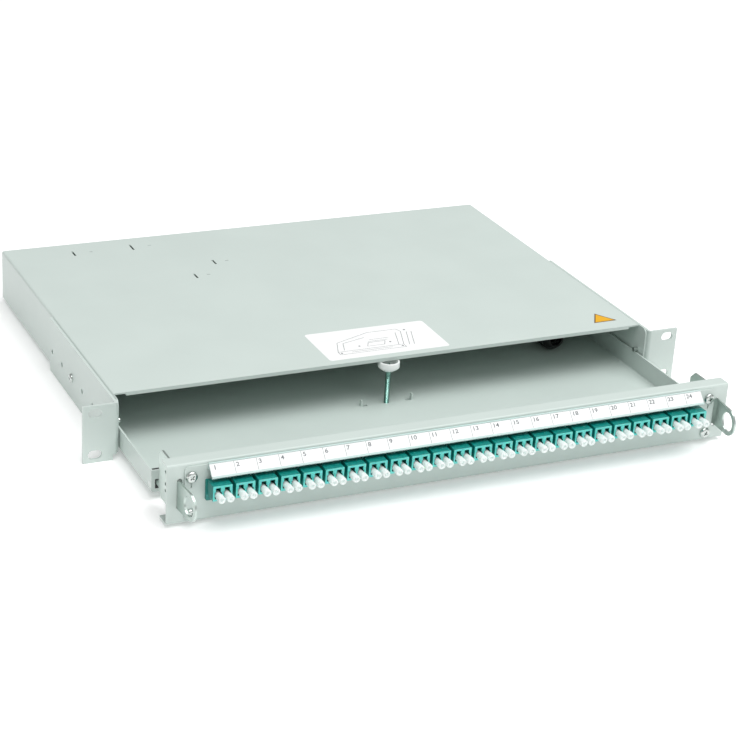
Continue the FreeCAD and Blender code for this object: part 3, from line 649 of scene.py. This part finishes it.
def threaded_rod(radius, length):
    """A rod along Z with a thread on it from end to end."""
    shape = bmesh.new()
    root = radius - THREAD_DEPTH
    turns = int(length / THREAD_PITCH) - 1
    start = (length - turns * THREAD_PITCH) / 2 - THREAD_PITCH / 2
    corners = [shape.verts.new((root, 0, start)),
               shape.verts.new((radius, 0, start + THREAD_PITCH / 2)),
               shape.verts.new((root, 0, start + THREAD_PITCH))]
    edges = [shape.edges.new(pair) for pair in zip(corners, corners[1:])]
    bmesh.ops.spin(shape, geom=corners + edges, cent=(0, 0, 0), axis=UP,
                   dvec=(0, 0, THREAD_PITCH / THREAD_STEPS), angle=2 * math.pi * turns,
                   steps=turns * THREAD_STEPS, use_duplicate=False)
    bmesh.ops.remove_doubles(shape, verts=list(shape.verts), dist=WELD)
    bmesh.ops.recalc_face_normals(shape, faces=list(shape.faces))
    core = root + CORE_LAP
    put(shape, turned([(0, 0), (core, 0), (core, length - CORE_TIP[1]),
                       (core - CORE_TIP[0], length), (0, length)], 2 * THREAD_STEPS))
    return shape


floor = low("hold_down_stud")
roof = high("hold_down_stud")
post = bmesh.new()
put(post, threaded_rod((roof.x - floor.x) / 2, roof.z - floor.z),
    Matrix.Translation(((floor.x + roof.x) / 2, (floor.y + roof.y) / 2, floor.z)))
piece("threaded_post", post, (ZINC_GREEN,), "drawer", ("hold_down_stud",), crease=60)

KNOB_BORE = 2.05
KNOB_STEPS = 48

floor = low("hold_down_knob")
roof = high("hold_down_knob")
outer = (roof.x - floor.x) / 2
tall = roof.z - floor.z
# Radius and height round the cup: the flared outside, the rolled lip, the well and its boss
flare = [(KNOB_BORE, 0), (4.6, 0), (5.0, 0.15), (outer - 0.35, 2.3), (outer, 2.9)]
lip = [(outer, tall - 0.5), (outer - 0.2, tall - 0.12), (outer - 0.6, tall),
       (outer - 1.1, tall), (outer - 1.4, tall - 0.4)]
well = [(outer - 1.5, 4.2), (outer - 2.0, 3.6), (4.2, 3.5), (3.9, 3.9), (2.5, 3.9),
        (KNOB_BORE, 3.6), (KNOB_BORE, 0)]
cup = turned(flare + lip + well, KNOB_STEPS)
knob = bmesh.new()
put(knob, cup, Matrix.Translation(((floor.x + roof.x) / 2, (floor.y + roof.y) / 2, floor.z)))
piece("knob_cup", knob, (NYLON_WHITE,), "knob", ("hold_down_knob",), crease=28)


# Gland nut with its grip rings

RING_PITCH = 3.4
RING_DEPTH = 0.9
FIRST_RING = 4.2
NUT_MOUTH = 5.0
NUT_SOCKET = 7.45
NUT_SOCKET_DEPTH = 16.5
NUT_COLLAR = 1.2
NUT_STEPS = 48

floor = low("gland_nut")
roof = high("gland_nut")
middle = (floor + roof) / 2
outer = (roof.x - floor.x) / 2
long = roof.y - floor.y
# Radius and height round the nut: the domed end, then each ring with its groove, then the socket
profile = [(NUT_MOUTH, 0), (6.4, 0), (7.0, 0.4), (outer - 0.8, 3.6)]
at = FIRST_RING
while at + RING_PITCH < long:
    profile += [(outer - 0.15, at), (outer, at + 0.3), (outer, at + 1.5),
                (outer - 0.15, at + 1.8), (outer - RING_DEPTH, at + 2.1),
                (outer - RING_DEPTH, at + 3.0)]
    at += RING_PITCH
profile += [(outer - 0.2, long - NUT_COLLAR), (outer - 0.2, long), (NUT_SOCKET, long),
            (NUT_SOCKET, long - NUT_SOCKET_DEPTH), (NUT_MOUTH, long - NUT_SOCKET_DEPTH),
            (NUT_MOUTH, 0)]
nut = bmesh.new()
put(nut, turned(profile, NUT_STEPS), facing(BACK, (middle.x, floor.y, middle.z)))
piece("gland_nut_ringed", nut, (NYLON_BLACK,), "clamping_nut", ("gland_nut",),
      crease=28)


# Label card with its numbers

LABEL_SLOPE = math.radians(43)
CARD_THICKNESS = 0.25
CARD_CORNER = 0.3
CELL_PITCH = 15.9
FIRST_CELL = -188.3
DIGIT_SIZE = 4.2
DIGIT_WIDEN = 1.2
DIGIT_BOLD = 0.09
DIGIT_INDENT = 1.1
DIGIT_DROP = 4.1
DIGIT_WELD = 0.0005
LINE_WIDTH = 0.4
# How far the lines stop from the lower and the upper edge of the card
LINE_GAPS = (0.4, 0.3)
PRINT_RISE = 0.02


def flat_text(words, size):
    """A line of figures as a flat shape on XY, from its lower left corner."""
    curve = bpy.data.curves.new("figures", "FONT")
    curve.body = words
    curve.size = size
    curve.offset = DIGIT_BOLD
    curve.resolution_u = 3
    holder = bpy.data.objects.new("figures", curve)
    bpy.context.scene.collection.objects.link(holder)
    bpy.context.view_layer.update()
    mesh = bpy.data.meshes.new_from_object(holder)
    shape = bmesh.new()
    shape.from_mesh(mesh)
    bpy.data.objects.remove(holder)
    bpy.data.curves.remove(curve)
    bpy.data.meshes.remove(mesh)
    bmesh.ops.remove_doubles(shape, verts=list(shape.verts), dist=DIGIT_WELD)
    return shape


def thicken(shape, thickness):
    """Raise a flat shape into a thin solid."""
    raised = bmesh.ops.extrude_face_region(shape, geom=list(shape.faces), use_keep_orig=True)
    corners = [item for item in raised["geom"] if isinstance(item, bmesh.types.BMVert)]
    bmesh.ops.translate(shape, verts=corners, vec=(0, 0, thickness))
    bmesh.ops.recalc_face_normals(shape, faces=list(shape.faces))
    return shape


card_low = low("label_strip")
card_high = high("label_strip")
slope_up = Vector((0, math.sin(LABEL_SLOPE), math.cos(LABEL_SLOPE)))
slope_out = Vector((0, -math.cos(LABEL_SLOPE), math.sin(LABEL_SLOPE)))
card_width = ((card_high.z - card_low.z) - CARD_THICKNESS * slope_out.z) / slope_up.z
# The card's lower rear edge is its lowest corner; its plane starts there
card_start = Vector((0, card_low.y + CARD_THICKNESS * math.cos(LABEL_SLOPE), card_low.z))
card_plane = Matrix((
    (1, slope_up.x, slope_out.x, card_start.x), (0, slope_up.y, slope_out.y, card_start.y),
    (0, slope_up.z, slope_out.z, card_start.z), (0, 0, 0, 1)))

card = bmesh.new()
put(card, slab([rounded_box(card_low.x, card_high.x, 0, card_width, CARD_CORNER)],
               CARD_THICKNESS), card_plane)
piece("label_card", card, (CARD,), "label", ("label_strip",))

figures = bmesh.new()
lines = bmesh.new()
for number in range(1, ADAPTER_COUNT + 1):
    start = FIRST_CELL + CELL_PITCH * (number - 1)
    words = thicken(flat_text(str(number), DIGIT_SIZE), PRINT_RISE)
    spot = Matrix.Translation((max(start, card_low.x) + DIGIT_INDENT, card_width - DIGIT_DROP,
                               CARD_THICKNESS))
    put(figures, words, card_plane @ spot @ Matrix.Diagonal((DIGIT_WIDEN, 1, 1, 1)))
    if number > 1:
        put(lines, block(start - LINE_WIDTH / 2, start + LINE_WIDTH / 2,
                         LINE_GAPS[0], card_width - LINE_GAPS[1],
                         CARD_THICKNESS, CARD_THICKNESS + PRINT_RISE), card_plane)
piece("label_figures", figures, (INK,), "label")
piece("label_lines", lines, (INK_PALE,), "label")


# Printed film on the cover

def stroke(shape, points, width, height):
    """A printed line through flat points, as thin bars that lie on height."""
    for a, b in zip(points, points[1:]):
        run = Vector((b[0] - a[0], b[1] - a[1], 0))
        bar = block(0, run.length, -width / 2, width / 2, 0, PRINT_RISE)
        turn = Matrix.Rotation(math.atan2(run.y, run.x), 4, "Z")
        put(shape, bar, Matrix.Translation((a[0], a[1], height)) @ turn)


COVER_TOP = high("housing_cover").z
FILM = 0.1
FILM_X = (-46.5, 52.4)
FILM_Y = (20.5, 71.0)
FILM_CORNER = 2.5
SKETCH_INDENT = (12, 8)
SKETCH_LINE = 0.4
SKETCH_DOT = 0.9
DOT_SIDES = 14

film = bmesh.new()
put(film, slab([rounded_box(*FILM_X, *FILM_Y, FILM_CORNER)], FILM),
    Matrix.Translation((0, 0, COVER_TOP)))
piece("guide_film", film, (CARD,), "housing")

# A plain sketch of a drawer between two side rails, in the middle of the film
sketch_x = FILM_X[0] + SKETCH_INDENT[0]
sketch_y = FILM_Y[0] + SKETCH_INDENT[1]
drawer_lines = (
    ((0, 0), (54, 0), (54, 5), (0, 5), (0, 0)),
    ((0, 5), (6, 21), (36, 33), (60, 33)),
    ((6, 7), (10, 19), (30, 25)),
    ((10, 2.5), (44, 2.5)),
    ((54, 5), (62, 28), (60, 33)),
    ((50, 5), (57, 27)),
    ((58, 3), (66, 26)),
    ((62, 3), (70, 26)),
    ((26, 9), (40, 9), (43, 15), (29, 15), (26, 9)),
    ((30, 17), (46, 17)),
    ((32, 20), (48, 20)),
)
drawer_dots = ((2, 2.5), (52, 2.5), (46, 12), (20, 11), (66, 30))
film_top = COVER_TOP + FILM
sketch = bmesh.new()
for line in drawer_lines:
    stroke(sketch, [(sketch_x + x, sketch_y + y) for x, y in line], SKETCH_LINE, film_top)
for x, y in drawer_dots:
    dot = slab([ring_points(sketch_x + x, sketch_y + y, SKETCH_DOT, DOT_SIDES)], PRINT_RISE)
    put(sketch, dot, Matrix.Translation((0, 0, film_top)))
piece("guide_film_sketch", sketch, (INK,), "housing")

# A plain amber triangle with a dark border
TRIANGLE = ((191.6, 43.6), (181.7, 26.9), (202.0, 27.1))
TRIANGLE_FIELD = 0.84
triangle_middle = Vector((sum(x for x, y in TRIANGLE) / 3, sum(y for x, y in TRIANGLE) / 3))


def inward(points, share):
    """Points moved towards the middle of the triangle."""
    return [tuple(triangle_middle + (Vector(p) - triangle_middle) * share) for p in points]


field = inward(TRIANGLE, TRIANGLE_FIELD)
mark = bmesh.new()
put(mark, slab([list(TRIANGLE), field], FILM), Matrix.Translation((0, 0, COVER_TOP)), 1)
put(mark, slab([field], FILM), Matrix.Translation((0, 0, COVER_TOP)), 0)
piece("amber_triangle_film", mark, (AMBER, AMBER_EDGE), "housing")


# Studio

FLOOR_SIZE = 4000
FLOOR_GAP = 0.1
AIR_LIGHT = 0.45

floor_shape = bmesh.new()
bmesh.ops.create_grid(floor_shape, x_segments=1, y_segments=1, size=FLOOR_SIZE * MM)
floor_height = cad_low.z - FLOOR_GAP * MM
bmesh.ops.translate(floor_shape, verts=list(floor_shape.verts), vec=(0, 0, floor_height))
floor_mesh = bpy.data.meshes.new("studio_floor")
floor_shape.to_mesh(floor_mesh)
floor_shape.free()
floor_mesh.materials.append(FLOOR)
studio_floor = bpy.data.objects.new("studio_floor", floor_mesh)
bpy.context.scene.collection.objects.link(studio_floor)


def softbox(name, place, aim, width, height, watts):
    """A large soft lamp, turned to its aim. Places and sizes are metres here."""
    lamp = bpy.data.lights.new(name, "AREA")
    lamp.shape = "RECTANGLE"
    lamp.size = width
    lamp.size_y = height
    lamp.energy = watts
    made = bpy.data.objects.new(name, lamp)
    bpy.context.scene.collection.objects.link(made)
    made.location = place
    made.rotation_euler = (Vector(aim) - Vector(place)).to_track_quat("-Z", "Y").to_euler()


softbox("overhead_box", (0.4, -0.6, 2.5), (0.0, 0.0, 0.0), 3.8, 1.7, 71)
softbox("front_box", (0.7, -2.4, 1.7), (0.0, -0.1, 0.0), 1.0, 0.8, 5)

world = bpy.data.worlds.new("studio_air")
world.use_nodes = True
air = world.node_tree.nodes["Background"]
air.inputs["Color"].default_value = (1.0, 1.0, 1.0, 1.0)
air.inputs["Strength"].default_value = AIR_LIGHT
bpy.context.scene.world = world

# The camera that the photograph fits, at its place in metres
lens = bpy.data.cameras.new("product_camera")
lens.lens = 98.9
lens.sensor_width = 36.0
lens.clip_start = 0.05
lens.clip_end = 20.0
camera = bpy.data.objects.new("product_camera", lens)
camera.location = (-0.61646, -1.21324, 0.62163)
camera.rotation_euler = (math.radians(66.0383), math.radians(-3.2659), math.radians(-24.5209))
bpy.context.scene.collection.objects.link(camera)
bpy.context.scene.camera = camera

# Display colours as they are, so that white stays white
bpy.context.scene.view_settings.view_transform = "Standard"
